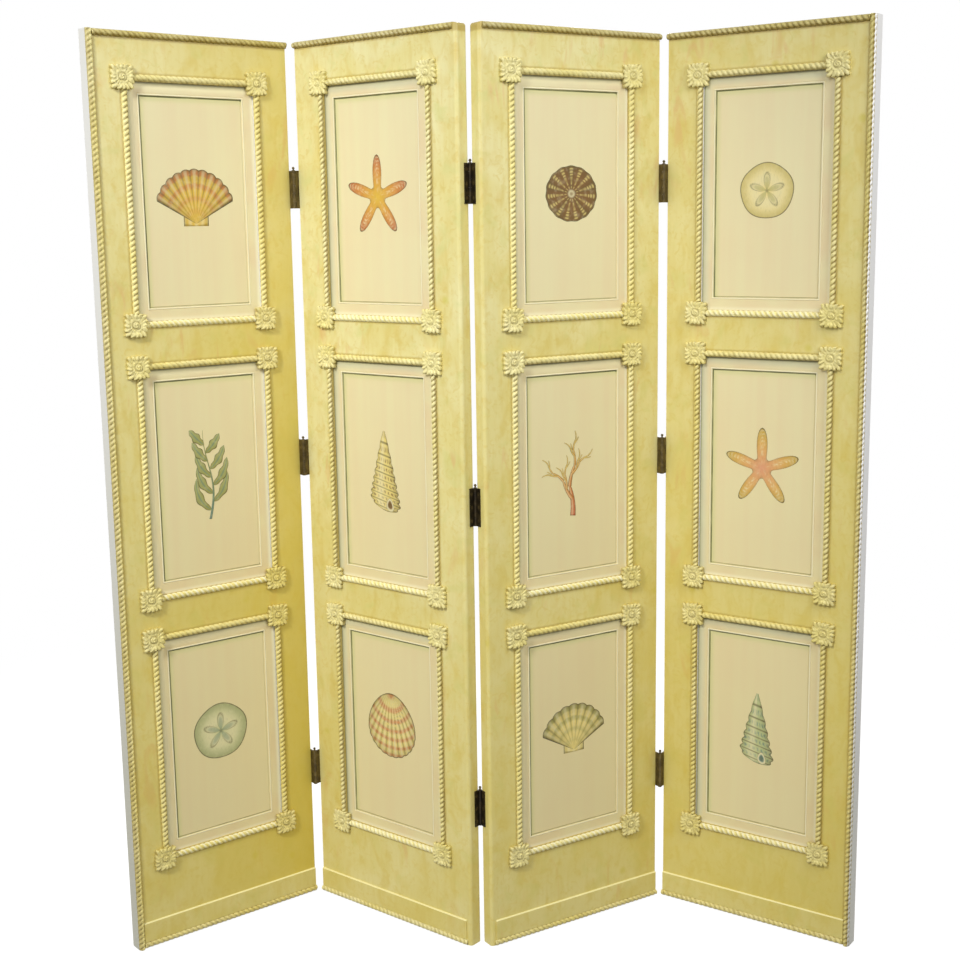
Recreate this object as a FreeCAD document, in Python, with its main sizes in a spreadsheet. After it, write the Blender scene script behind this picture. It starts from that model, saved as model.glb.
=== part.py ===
# A four panel folding screen: framed panels with roped openings, joined by butt hinges.
# Millimetres. The origin is on the floor under the middle of the screen, +Z is up and the fronts face -Y.
import FreeCAD, Part
import os
import re

doc = FreeCAD.newDocument("FoldingScreen")
sheet = doc.addObject("Spreadsheet::Sheet", "Sizes")

DRIVING = [
    # The four panels, and how far each turns from the line of the screen as it stands
    ("screen_height", 1829),
    ("panel_width", 426),
    ("panel_thickness", 28),
    ("turn_1", 39.5),
    ("turn_2", -38.1),
    ("turn_3", 33),
    ("turn_4", -34.1),
    # The timber frame of a panel
    ("stile_width", 77.5),
    ("top_rail_height", 91.5),
    ("middle_rail_height", 94.5),
    ("bottom_rail_height", 189.5),
    ("tenon_length", 45),
    ("tenon_thickness", 9),
    ("tenon_shoulder", 12),
    ("mortise_end_gap", 1),
    ("joint_clearance", 0.1),
    ("ridge_round", 7),
    # The boards let into the openings
    ("insert_setback", 4),
    ("insert_thickness", 8),
    ("groove_depth", 8),
    ("groove_end_gap", 1),
    ("groove_clearance", 0.2),
    ("band_width", 24.5),
    ("field_sink", 2),
    # The carved mouldings on the face
    ("rope_width", 13),
    ("valley_overhang", 2),
    ("ridge_stop", 9),
    ("rosette_width", 46),
    ("rosette_relief", 10.5),
    ("rosette_shift", 3.5),
    ("rosette_base", 4.5),
    ("rosette_slope", 3),
    ("rosette_tier_radius", 17),
    ("rosette_tier_height", 8),
    ("rosette_boss_radius", 8),
    ("plinth_height", 55),
    ("plinth_relief", 3),
    ("plinth_chamfer", 2),
    ("plinth_stop", 11),
    # The hinges: in the valleys the pins stand in front of the faces, at the ridge behind the backs
    ("hinge_gap", 2.6),
    ("valley_standoff", 12.5),
    ("ridge_standoff", 4),
    ("valley_leaf_width", 38),
    ("ridge_leaf_width", 15.2),
    ("leaf_height", 76),
    ("leaf_thickness", 2.2),
    ("barrel_radius", 3.6),
    ("knuckle_gap", 0.3),
    ("barrel_relief", 0.3),
    ("valley_middle_hinge", 981),
    ("ridge_middle_hinge", 915),
    ("low_hinge", 292),
    ("pin_radius", 2.1),
    ("pin_clearance", 0.05),
    ("collar_radius", 3.2),
    ("collar_height", 1.2),
    ("neck_radius", 1.5),
    ("neck_height", 2.4),
    ("finial_radius", 2.8),
    # The wood screws of the leaves
    ("screw_radius", 1.75),
    ("screw_length", 18),
    ("screw_head_radius", 3.6),
    ("screw_head_height", 1.9),
    ("screw_clearance", 0.05),
    ("valley_screw_inset", 7),
    ("ridge_screw_inset", 5),
    ("screw_stagger", 9),
    ("screw_spacing", 27),
]

DERIVED = [
    ("opening_width", "panel_width - 2 * stile_width"),
    ("rails_height", "bottom_rail_height + 2 * middle_rail_height + top_rail_height"),
    ("opening_height", "(screen_height - rails_height) / 3"),
    ("opening_pitch", "opening_height + middle_rail_height"),
    ("high_hinge", "screen_height - low_hinge"),
    ("groove_front", "insert_setback - groove_clearance"),
    ("groove_size", "insert_thickness + 2 * groove_clearance"),
    ("tongue", "groove_depth - groove_end_gap"),
    ("tenon_front", "(panel_thickness - tenon_thickness) / 2"),
    # The centre lines of the rope mouldings around an opening
    ("rope_line", "stile_width - rope_width / 2"),
    ("rope_span", "opening_width + rope_width"),
    ("rope_rise", "opening_height + rope_width"),
    ("lowest_line", "bottom_rail_height - rope_width / 2"),
    ("knuckle_height", "(leaf_height - 4 * knuckle_gap) / 5"),
    # The front left foot of each panel, measured from the pins of the ridge
    ("ridge_depth", "panel_thickness + ridge_standoff"),
    ("pin_reach", "panel_width + hinge_gap"),
    ("foot_2_x", "sin(turn_2) * ridge_depth - cos(turn_2) * pin_reach"),
    ("foot_2_y", "-cos(turn_2) * ridge_depth - sin(turn_2) * pin_reach"),
    ("foot_3_x", "sin(turn_3) * ridge_depth + cos(turn_3) * hinge_gap"),
    ("foot_3_y", "-cos(turn_3) * ridge_depth + sin(turn_3) * hinge_gap"),
    ("left_pin_x", "foot_2_x - cos(turn_2) * hinge_gap + sin(turn_2) * valley_standoff"),
    ("left_pin_y", "foot_2_y - sin(turn_2) * hinge_gap - cos(turn_2) * valley_standoff"),
    ("right_pin_x", "foot_3_x + cos(turn_3) * pin_reach + sin(turn_3) * valley_standoff"),
    ("right_pin_y", "foot_3_y + sin(turn_3) * pin_reach - cos(turn_3) * valley_standoff"),
    ("foot_1_x", "left_pin_x - cos(turn_1) * pin_reach - sin(turn_1) * valley_standoff"),
    ("foot_1_y", "left_pin_y - sin(turn_1) * pin_reach + cos(turn_1) * valley_standoff"),
    ("foot_4_x", "right_pin_x + cos(turn_4) * hinge_gap - sin(turn_4) * valley_standoff"),
    ("foot_4_y", "right_pin_y + sin(turn_4) * hinge_gap + cos(turn_4) * valley_standoff"),
    # The outermost places as seen from above, and the middle of the floor between them
    ("left_end", "foot_1_x - sin(turn_1) * panel_thickness"),
    ("right_end", "foot_4_x + cos(turn_4) * panel_width - sin(turn_4) * panel_thickness"),
    ("front_1", "foot_1_y - (1 - sin(turn_1)) * rope_width / 2"),
    ("front_2", "foot_2_y + sin(turn_2) * (panel_width - ridge_round) - (1 - cos(turn_2)) * ridge_round"),
    ("front_3", "foot_3_y + sin(turn_3) * ridge_round - (1 - cos(turn_3)) * ridge_round"),
    ("front_4", "foot_4_y + sin(turn_4) * panel_width - (1 + sin(turn_4)) * rope_width / 2"),
    ("back_1", "foot_1_y + sin(turn_1) * panel_width + cos(turn_1) * panel_thickness"),
    ("back_2", "foot_2_y + cos(turn_2) * panel_thickness"),
    ("back_3", "foot_3_y + sin(turn_3) * panel_width + cos(turn_3) * panel_thickness"),
    ("back_4", "foot_4_y + cos(turn_4) * panel_thickness"),
    ("middle_x", "(left_end + right_end) / 2"),
    ("middle_y", "(min(front_1; front_2; front_3; front_4) + max(back_1; back_2; back_3; back_4)) / 2"),
]

for row, (alias, value) in enumerate(DRIVING + DERIVED, start=1):
    sheet.set(f"A{row}", alias)
    sheet.setAlias(f"B{row}", alias)
    sheet.set(f"B{row}", str(value) if (alias, value) in DRIVING else f"={value}")

Z_WAY = FreeCAD.Vector(0, 0, 1)
UPRIGHT = FreeCAD.Rotation()
TO_RIGHT = FreeCAD.Rotation(FreeCAD.Vector(0, 1, 0), 90)
TO_LEFT = FreeCAD.Rotation(FreeCAD.Vector(0, 1, 0), -90)
TO_FRONT = FreeCAD.Rotation(FreeCAD.Vector(1, 0, 0), 90)
HALF_TURN = FreeCAD.Rotation(Z_WAY, 180)
SAME_POINT = 1e-6
nodes = []


# Helpers that write sizes and places in the sheet's names


def formula(text):
    """Write a sum of the sheet's names as an expression that reads the sheet."""
    return re.sub(r"[a-z]\w*", lambda word: "Sizes." + word.group(), text)


def bind(feature, **sizes):
    for name, text in sizes.items():
        feature.setExpression(name, formula(text))


def stand(feature, place, rotation):
    feature.Placement = FreeCAD.Placement(FreeCAD.Vector(), rotation)
    for axis, text in zip("xyz", place):
        feature.setExpression(f"Placement.Base.{axis}", formula(text))


def new_body(name):
    """Start a piece that is drawn once and then placed wherever the screen has one like it."""
    return doc.addObject("PartDesign::Body", name)


def primitive(body, kind, corner, rotation=UPRIGHT, **sizes):
    feature = doc.addObject(f"PartDesign::{kind}", f"{body.Name}_{kind}")
    body.addObject(feature)
    bind(feature, **sizes)
    stand(feature, corner, rotation)
    return feature


def block(body, corner, size, kind="AdditiveBox"):
    length, width, height = size
    return primitive(body, kind, corner, Length=length, Width=width, Height=height)


def cavity(body, corner, size):
    return block(body, corner, size, kind="SubtractiveBox")


def rod(body, corner, radius, length, rotation=UPRIGHT, kind="AdditiveCylinder"):
    return primitive(body, kind, corner, rotation, Radius=radius, Height=length)


def drill(body, corner, radius, length, rotation=UPRIGHT):
    return rod(body, corner, radius, length, rotation, kind="SubtractiveCylinder")


def dress_edges(body, base, kind, middles, **sizes):
    """Round or chamfer the edges of a piece that have these middles."""
    names = []
    for index, edge in enumerate(base.Shape.Edges, start=1):
        if any(edge.CenterOfMass.isEqual(middle, SAME_POINT) for middle in middles):
            names.append(f"Edge{index}")
    dressing = body.newObject(f"PartDesign::{kind}", f"{body.Name}_{kind}")
    dressing.Base = (base, names)
    bind(dressing, **sizes)
    body.Tip = dressing


def copy_of(body, place=("0", "0", "0"), rotation=UPRIGHT):
    """Put a copy of a piece at a place in a panel's frame."""
    copy = doc.addObject("App::Link", f"{body.Name}_copy")
    copy.LinkedObject = body
    stand(copy, place, rotation)
    return copy


def place_node(label, panel, copies):
    """Gather copies into a sub-part in its panel's frame: X along the width, Y into the depth from the face."""
    node = doc.addObject("Part::Compound", label)
    node.Label = label
    node.Links = copies
    node.setExpression("Placement.Base.x", formula(f"foot_{panel}_x - middle_x"))
    node.setExpression("Placement.Base.y", formula(f"foot_{panel}_y - middle_y"))
    node.setExpression("Placement.Rotation.Angle", formula(f"turn_{panel}"))
    nodes.append(node)


# Places that several pieces share

EDGES = {
    (1, "left"): "outer",
    (1, "right"): "left_valley",
    (2, "left"): "left_valley",
    (2, "right"): "ridge",
    (3, "left"): "ridge",
    (3, "right"): "right_valley",
    (4, "left"): "right_valley",
    (4, "right"): "outer",
}
HINGE_LINES = ("left_valley", "ridge", "right_valley")


def kind_of(line):
    return line.split("_")[-1]


def pin_depth(kind):
    """How far the pins are behind the panels' faces."""
    return "ridge_depth" if kind == "ridge" else "-valley_standoff"


def hinge_heights(kind):
    return ("low_hinge", f"{kind}_middle_hinge", "high_hinge")


def screw_spots(kind):
    """Depth and height of a leaf's three screws from its pin; in a valley the middle one is set closer."""
    way = "-" if kind == "ridge" else ""
    spots = []
    for step in (-1, 0, 1):
        inset = f"{kind}_screw_inset"
        if kind == "valley" and step == 0:
            inset += " - screw_stagger"
        spots.append((f"{way}({kind}_leaf_width - {inset})", f"{step} * screw_spacing"))
    return spots


def opening_base(index):
    return f"bottom_rail_height + {index} * opening_pitch"


RAILS = {
    "bottom_rail": ("0", "bottom_rail_height"),
    "lower_rail": (opening_base(1) + " - middle_rail_height", "middle_rail_height"),
    "upper_rail": (opening_base(2) + " - middle_rail_height", "middle_rail_height"),
    "top_rail": ("screen_height - top_rail_height", "top_rail_height"),
}


# Timber frame and its boards


def draw_stile(side, kind):
    body = new_body(f"{side}_{kind}_stile")
    at_left = side == "left"
    start = "0" if at_left else "panel_width - stile_width"
    post = block(body, (start, "0", "0"), ("stile_width", "panel_thickness", "screen_height"))
    if kind == "ridge":
        doc.recompute()
        room = post.Shape.BoundBox
        outer = room.XMin if at_left else room.XMax
        front_arris = FreeCAD.Vector(outer, room.YMin, room.Center.z)
        top_corner = FreeCAD.Vector(outer, room.Center.y, room.ZMax)
        dress_edges(body, post, "Fillet", [front_arris, top_corner], Radius="ridge_round")
    groove_x = "stile_width - groove_depth" if at_left else "panel_width - stile_width"
    for index in range(3):
        cavity(body, (groove_x, "groove_front", opening_base(index) + " - groove_depth"),
               ("groove_depth", "groove_size", "opening_height + 2 * groove_depth"))
    mortise_depth = "tenon_length + mortise_end_gap"
    mortise_x = f"stile_width - ({mortise_depth})" if at_left else "panel_width - stile_width"
    for base, height in RAILS.values():
        cavity(body, (mortise_x, "tenon_front - joint_clearance", f"{base} + tenon_shoulder - joint_clearance"),
               (mortise_depth, "tenon_thickness + 2 * joint_clearance",
                f"{height} - 2 * (tenon_shoulder - joint_clearance)"))
    if kind != "outer":
        drill_pilot_holes(body, at_left, kind)
    return body


def drill_pilot_holes(body, at_left, kind):
    edge, inward = ("0", TO_RIGHT) if at_left else ("panel_width", TO_LEFT)
    for hinge in hinge_heights(kind):
        for depth, height in screw_spots(kind):
            drill(body, (edge, f"{pin_depth(kind)} + {depth}", f"{hinge} + {height}"),
                  "screw_radius + screw_clearance", "screw_length - leaf_thickness + screw_clearance", inward)


def draw_rail(name):
    base, height = RAILS[name]
    body = new_body(name)
    block(body, ("stile_width", "0", base), ("opening_width", "panel_thickness", height))
    for start in ("stile_width - tenon_length", "panel_width - stile_width"):
        block(body, (start, "tenon_front", f"{base} + tenon_shoulder"),
              ("tenon_length", "tenon_thickness", f"{height} - 2 * tenon_shoulder"))
    grooves = []
    if name != "bottom_rail":
        grooves.append(base)
    if name != "top_rail":
        grooves.append(f"{base} + {height} - groove_depth")
    for groove in grooves:
        cavity(body, ("stile_width", "groove_front", groove), ("opening_width", "groove_size", "groove_depth"))
    return body


def draw_insert():
    """A board for the lowest opening, with its field sunk behind a flat band."""
    body = new_body("insert")
    block(body, ("stile_width - tongue", "insert_setback", "bottom_rail_height - tongue"),
          ("opening_width + 2 * tongue", "insert_thickness", "opening_height + 2 * tongue"))
    cavity(body, ("stile_width + band_width", "insert_setback", "bottom_rail_height + band_width"),
           ("opening_width - 2 * band_width", "field_sink", "opening_height - 2 * band_width"))
    return body


# Mouldings on the face


def draw_rope(name, length):
    """A half round bar that runs up from its middle line's foot, with its flat back on the face."""
    body = new_body(name)
    bar = rod(body, ("0", "0", "0"), "rope_width / 2", length, HALF_TURN)
    bar.Angle = 180
    return body


def draw_rosette():
    """A block over a crossing of the ropes: a sloped square, a round tier and a domed boss."""
    body = new_body("rosette")
    half = "rosette_width / 2"
    primitive(body, "AdditiveWedge", (half, "0", f"0 - {half}"), HALF_TURN,
              Xmax="rosette_width", Ymax="rosette_base", Zmax="rosette_width",
              X2min="rosette_slope", X2max="rosette_width - rosette_slope",
              Z2min="rosette_slope", Z2max="rosette_width - rosette_slope")
    primitive(body, "AdditiveCone", ("0", "0", "0"), TO_FRONT, Radius1="rosette_tier_radius",
              Radius2="rosette_tier_radius - rosette_slope", Height="rosette_tier_height")
    boss = primitive(body, "AdditiveSphere", ("0", "rosette_boss_radius - rosette_relief", "0"), TO_FRONT,
                     Radius="rosette_boss_radius")
    boss.Angle1 = 0
    return body


def opening_ropes(level_rope, upright_rope):
    """Two level and two upright bars round each opening, from rosette to rosette."""
    level_start = "rope_line - rosette_shift + rosette_width / 2"
    copies = []
    for index in range(3):
        base = f"lowest_line + {index} * opening_pitch"
        for step in (0, 1):
            copies.append(copy_of(level_rope, (level_start, "0", f"{base} + {step} * rope_rise"), TO_RIGHT))
            copies.append(copy_of(upright_rope, (f"rope_line + {step} * rope_span", "0",
                                                 f"{base} + rosette_width / 2")))
    return copies


def rosettes(rosette):
    """Twelve rosettes on the ropes' corners, the left ones a little further out than their ropes."""
    copies = []
    for index in range(3):
        for up in (0, 1):
            for across in (0, 1):
                middle = "rope_line + rope_span" if across else "rope_line - rosette_shift"
                line = f"lowest_line + {index} * opening_pitch + {up} * rope_rise"
                copies.append(copy_of(rosette, (middle, "0", line)))
    return copies


def end_insets(panel, at_valley, at_ridge):
    """How far a moulding stops from each edge of a panel; on an outer edge it meets the upright rope."""
    insets = {"outer": "rope_width", "valley": at_valley, "ridge": at_ridge}
    return [insets[kind_of(EDGES[panel, side])] for side in ("left", "right")]


def edge_ropes(panel, outer_rope):
    """Ropes along the top and bottom of the face, and up the outer edge of an end panel."""
    start, stop = end_insets(panel, "0 - valley_overhang", "ridge_stop")
    rope = draw_rope(f"panel_{panel}_end_rope", f"panel_width - ({start}) - ({stop})")
    copies = [copy_of(rope, (start, "0", "rope_width / 2"), TO_RIGHT),
              copy_of(rope, (start, "0", "screen_height - rope_width / 2"), TO_RIGHT)]
    if EDGES[panel, "left"] == "outer":
        copies.append(copy_of(outer_rope, ("rope_width / 2", "0", "0")))
    if EDGES[panel, "right"] == "outer":
        copies.append(copy_of(outer_rope, ("panel_width - rope_width / 2", "0", "0")))
    return copies


def draw_plinth(panel):
    body = new_body(f"plinth_{panel}")
    start, stop = end_insets(panel, "0", "plinth_stop")
    strip = block(body, (start, "0 - plinth_relief", "rope_width"),
                  (f"panel_width - ({start}) - ({stop})", "plinth_relief", "plinth_height - rope_width"))
    doc.recompute()
    room = strip.Shape.BoundBox
    top_arris = FreeCAD.Vector(room.Center.x, room.YMin, room.ZMax)
    dress_edges(body, strip, "Chamfer", [top_arris], Size="plinth_chamfer")
    return body


# Hinges, drawn about the middle of their pins


def draw_leaf(kind, side):
    """A leaf with its share of five knuckles. The left leaf has the end knuckles and the middle one."""
    body = new_body(f"{kind}_{side}_leaf")
    bottom = "0 - leaf_height / 2"
    plate_x = "0 - hinge_gap" if side == "left" else "hinge_gap - leaf_thickness"
    plate_y = "0 - ridge_leaf_width" if kind == "ridge" else "0"
    block(body, (plate_x, plate_y, bottom), ("leaf_thickness", f"{kind}_leaf_width", "leaf_height"))
    rod(body, ("0", "0", bottom), "barrel_radius", "leaf_height")
    for index in (1, 3) if side == "left" else (0, 2, 4):
        drill(body, ("0", "0", f"{bottom} + {index} * (knuckle_height + knuckle_gap) - knuckle_gap"),
              "barrel_radius + barrel_relief", "knuckle_height + 2 * knuckle_gap")
    drill(body, ("0", "0", f"{bottom} - knuckle_gap"), "pin_radius + pin_clearance",
          "leaf_height + 2 * knuckle_gap")
    outside, inward = leaf_outside(side)
    for depth, height in screw_spots(kind):
        primitive(body, "SubtractiveCone", (outside, depth, height), inward,
                  Radius1="screw_head_radius + screw_clearance", Radius2="screw_radius + screw_clearance",
                  Height="screw_head_height")
        drill(body, (outside, depth, height), "screw_radius + screw_clearance", "leaf_thickness", inward)
    return body


def leaf_outside(side):
    """The face of a leaf that its screws go in from, and the way that they go."""
    return ("leaf_thickness - hinge_gap", TO_LEFT) if side == "left" else ("hinge_gap - leaf_thickness", TO_RIGHT)


def draw_screw():
    body = new_body("wood_screw")
    primitive(body, "AdditiveCone", ("0", "0", "0"), Radius1="screw_head_radius", Radius2="screw_radius",
              Height="screw_head_height")
    rod(body, ("0", "0", "0"), "screw_radius", "screw_length")
    return body


def draw_pin():
    """A loose pin that hangs by a collar on the top knuckle, with a ball finial."""
    body = new_body("hinge_pin")
    top = "leaf_height / 2"
    rod(body, ("0", "0", f"0 - {top}"), "pin_radius", "leaf_height")
    rod(body, ("0", "0", top), "collar_radius", "collar_height")
    rod(body, ("0", "0", f"{top} + collar_height"), "neck_radius", "neck_height")
    primitive(body, "AdditiveSphere", ("0", "0", f"{top} + collar_height + neck_height + finial_radius / 2"),
              Radius="finial_radius")
    return body


def pin_across(side):
    """The pins' place across a panel: beyond its right edge for a left leaf, and before its left edge."""
    return "panel_width + hinge_gap" if side == "left" else "0 - hinge_gap"


def place_hinges(line, leaf, screw, pin):
    kind = kind_of(line)
    for side in ("left", "right"):
        edge = "right" if side == "left" else "left"
        panel = next(number for (number, where), name in EDGES.items() if (where, name) == (edge, line))
        leaves, screws, pins = [], [], []
        outside, inward = leaf_outside(side)
        for hinge in hinge_heights(kind):
            leaves.append(copy_of(leaf[kind, side], (pin_across(side), pin_depth(kind), hinge)))
            pins.append((pin_across(side), pin_depth(kind), hinge))
            for depth, height in screw_spots(kind):
                screws.append(copy_of(screw, (f"{pin_across(side)} + {outside}", f"{pin_depth(kind)} + {depth}",
                                              f"{hinge} + {height}"), inward))
        place_node(f"{line}_{side}_leaves", panel, leaves)
        place_node(f"{line}_{side}_screws", panel, screws)
        if side == "left":
            place_node(f"{line}_pins", panel, [copy_of(pin, place) for place in pins])


# The whole screen

stiles = {}
for place, line in EDGES.items():
    key = (place[1], kind_of(line))
    if key not in stiles:
        stiles[key] = draw_stile(*key)
rails = {name: draw_rail(name) for name in RAILS}
insert = draw_insert()
level_rope = draw_rope("level_rope", "rope_span + rosette_shift - rosette_width")
upright_rope = draw_rope("upright_rope", "rope_rise - rosette_width")
outer_rope = draw_rope("outer_rope", "screen_height")
rosette = draw_rosette()

for panel in (1, 2, 3, 4):
    for side in ("left", "right"):
        stile = stiles[side, kind_of(EDGES[panel, side])]
        place_node(f"panel_{panel}_{side}_stile", panel, [copy_of(stile)])
    for name, rail in rails.items():
        place_node(f"panel_{panel}_{name}", panel, [copy_of(rail)])
    inserts = [copy_of(insert, ("0", "0", f"{index} * opening_pitch")) for index in range(3)]
    place_node(f"panel_{panel}_inserts", panel, inserts)
    place_node(f"panel_{panel}_opening_ropes", panel, opening_ropes(level_rope, upright_rope))
    place_node(f"panel_{panel}_rosettes", panel, rosettes(rosette))
    place_node(f"panel_{panel}_edge_ropes", panel, edge_ropes(panel, outer_rope))
    place_node(f"panel_{panel}_plinth", panel, [copy_of(draw_plinth(panel))])

leaf = {(kind, side): draw_leaf(kind, side) for kind in ("valley", "ridge") for side in ("left", "right")}
screw = draw_screw()
pin = draw_pin()
for line in HINGE_LINES:
    place_hinges(line, leaf, screw, pin)

doc.recompute()
for item in doc.Objects:
    if "Invalid" in item.State or "Error" in item.State:
        raise RuntimeError(f"{item.Label} did not rebuild: {item.State}")
for node in nodes:
    if node.Shape.isNull() or not node.Shape.isValid():
        raise RuntimeError(f"{node.Label} has no valid shape")

os.makedirs("parts", exist_ok=True)
for node in nodes:
    node.Shape.exportStep(f"parts/{node.Label}.step")
room = Part.makeCompound([node.Shape for node in nodes]).BoundBox
print("nodes", len(nodes), "solids", sum(len(node.Shape.Solids) for node in nodes))
print("from", room.XMin, room.YMin, room.ZMin, "to", room.XMax, room.YMax, room.ZMax)
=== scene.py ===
import math
from functools import partialmethod

import bmesh
import bpy
import numpy as np
from mathutils import Matrix, Vector


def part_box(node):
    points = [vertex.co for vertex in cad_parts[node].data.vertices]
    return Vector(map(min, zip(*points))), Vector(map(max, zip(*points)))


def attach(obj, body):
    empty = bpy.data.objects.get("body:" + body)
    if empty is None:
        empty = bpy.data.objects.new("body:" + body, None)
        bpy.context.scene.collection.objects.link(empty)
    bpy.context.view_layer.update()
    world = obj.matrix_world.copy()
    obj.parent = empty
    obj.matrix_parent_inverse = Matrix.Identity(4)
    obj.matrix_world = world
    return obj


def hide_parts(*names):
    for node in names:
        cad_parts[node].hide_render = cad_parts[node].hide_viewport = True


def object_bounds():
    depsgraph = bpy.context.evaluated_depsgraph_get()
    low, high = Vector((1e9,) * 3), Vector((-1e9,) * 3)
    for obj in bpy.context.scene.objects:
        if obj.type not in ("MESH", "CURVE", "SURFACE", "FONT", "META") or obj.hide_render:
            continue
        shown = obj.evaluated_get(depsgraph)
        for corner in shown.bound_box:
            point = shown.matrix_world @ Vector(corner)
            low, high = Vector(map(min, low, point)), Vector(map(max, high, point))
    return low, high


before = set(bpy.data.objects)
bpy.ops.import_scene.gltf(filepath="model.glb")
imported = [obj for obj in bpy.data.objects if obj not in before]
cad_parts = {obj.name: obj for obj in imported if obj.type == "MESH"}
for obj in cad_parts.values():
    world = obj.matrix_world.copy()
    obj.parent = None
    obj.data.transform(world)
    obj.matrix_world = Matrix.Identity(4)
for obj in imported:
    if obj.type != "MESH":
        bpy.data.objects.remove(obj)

scene = bpy.context.scene
cad_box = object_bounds()

# Sizes of the screen, in metres, as in the part itself
MM = 0.001
PANEL_WIDTH = 426 * MM
STILE_WIDTH = 77.5 * MM
TURNS = {1: 39.5, 2: -38.1, 3: 33.0, 4: -34.1}
BODIES = {number: f"panel_{number}" for number in TURNS}
SCREEN_HEIGHT = cad_box[1].z
BOTTOM_RAIL = 189.5 * MM
OPENING_WIDTH = 271 * MM
OPENING_HEIGHT = 453 * MM
OPENING_PITCH = 547.5 * MM
BOARD_SETBACK = 4 * MM
BOARD_THICKNESS = 8 * MM
BOARD_TONGUE = 7 * MM
BAND_WIDTH = 24.5 * MM
FIELD_SINK = 2 * MM
ROPE_WIDTH = 13 * MM
ROSETTE_WIDTH = 46 * MM
ROSETTE_RELIEF = 10.5 * MM
ROSETTE_SHIFT = 3.5 * MM
VALLEY_OVERHANG = 2 * MM
RIDGE_STOP = 9 * MM
OPENINGS = range(3)
OUTER_SIDE = {1: "left", 4: "right"}

# Mesh helpers


def placed(name, data):
    """A new object in the scene."""
    obj = bpy.data.objects.new(name, data)
    scene.collection.objects.link(obj)
    return obj


def keep(mesh, name, kind, key, values):
    """Keep a value for each point of a mesh, for its paint."""
    layer = mesh.attributes.new(name, kind, "POINT")
    layer.data.foreach_set(key, np.asarray(values, np.float32).ravel())


def new_object(name, points, faces, number, place=(0, 0, 0), deep=None):
    """A mesh drawn in a panel's frame, X across, Y into the depth and Z up, and set on that panel."""
    points = np.asarray(points, float).reshape(-1, 3)
    turned = np.array(PANELS[number].to_3x3())
    shown = (points + np.array(place)) @ turned.T + np.array(PANELS[number].translation)
    mesh = bpy.data.meshes.new(name)
    mesh.from_pydata(shown.tolist(), [], faces)
    shape = bmesh.new()
    shape.from_mesh(mesh)
    bmesh.ops.recalc_face_normals(shape, faces=shape.faces)
    shape.to_mesh(mesh)
    shape.free()
    mesh.shade_smooth()
    keep(mesh, "drawn", "FLOAT_VECTOR", "vector", points)
    if deep is not None:
        keep(mesh, "deep", "FLOAT", "value", deep)
    obj = placed(name, mesh)
    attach(obj, BODIES[number])
    return obj


def panel_matrix(number):
    """The frame of a panel, found from the middle of its boards."""
    low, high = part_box(f"panel_{number}_inserts")
    turned = Matrix.Rotation(math.radians(TURNS[number]), 4, "Z")
    to_middle = Vector((PANEL_WIDTH / 2, BOARD_SETBACK + BOARD_THICKNESS / 2, 0))
    foot = (low + high) / 2 - turned @ to_middle
    foot.z = 0
    return Matrix.Translation(foot) @ turned


PANELS = {number: panel_matrix(number) for number in TURNS}


def grid_faces(rows, columns, split=False):
    """Faces between closed rows of points, split from corner to corner where asked."""
    faces = []
    for row in range(rows - 1):
        here, there = row * columns, (row + 1) * columns
        for column in range(columns):
            after = (column + 1) % columns
            if split:
                faces.append((here + column, here + after, there + column))
                faces.append((here + after, there + after, there + column))
            else:
                faces.append((here + column, here + after, there + after, there + column))
    return faces


def join_parts(parts):
    """Put several sets of points, faces and depths of shade together."""
    points, faces, deep, count = [], [], [], 0
    for part_points, part_faces, part_deep in parts:
        points.append(part_points)
        deep.append(part_deep)
        faces.extend(tuple(count + index for index in face) for face in part_faces)
        count += len(part_points)
    return np.concatenate(points), faces, np.concatenate(deep)


def colour(red, green, blue):
    """A colour as it is seen, from 0 to 255, made linear."""
    shares = [value / 255 for value in (red, green, blue)]
    return [s / 12.92 if s <= 0.04045 else ((s + 0.055) / 1.055) ** 2.4 for s in shares] + [1]


def bump(value, middle, width):
    """A rounded rise to 1 at its middle."""
    return np.exp(-((value - middle) / width) ** 2)


def ease(value, low, high):
    """A smooth step from 0 at low to 1 at high."""
    share = np.clip((value - low) / (high - low), 0, 1)
    return share * share * (3 - 2 * share)


# Rope mouldings: half round bars carved with strands that all turn the same way

UPRIGHT_PITCH = 10.35 * MM
LEVEL_PITCH = 11.3 * MM
ROPE_TURN = 1.0
ROPE_GROOVE = 2.4 * MM
GROOVE_SHARPNESS = 1.9
RINGS_IN_PITCH = 10
ROPE_SIDES = 10
# Glaze and painted shade on a rope: all over it, in its grooves and along its hollow side, where shade falls,
# with a negative share painting light there instead, and where that side starts and is full
ROPE_GLAZE_AND_SHADE = {
    "upright": (0.2, 0.5, 0.4, 0.5, 0.95),
    "left": (0.52, 0.12, -0.36, -0.4, 0.7),
    "right": (0.28, 0.25, 0.3, 0.0, 0.4),
    "over": (0.33, 0.12, 0.15, 0.3, 0.8),
    "under": (-0.15, 0.6, 0.0, 0.6, 1.0),
    "top": (0.5, 0.15, 0.2, 0.1, 0.8),
    "foot": (0.36, 0.15, 0.1, 0.5, 0.95),
}
LEVEL_KINDS = ("over", "under", "top", "foot")


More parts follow.
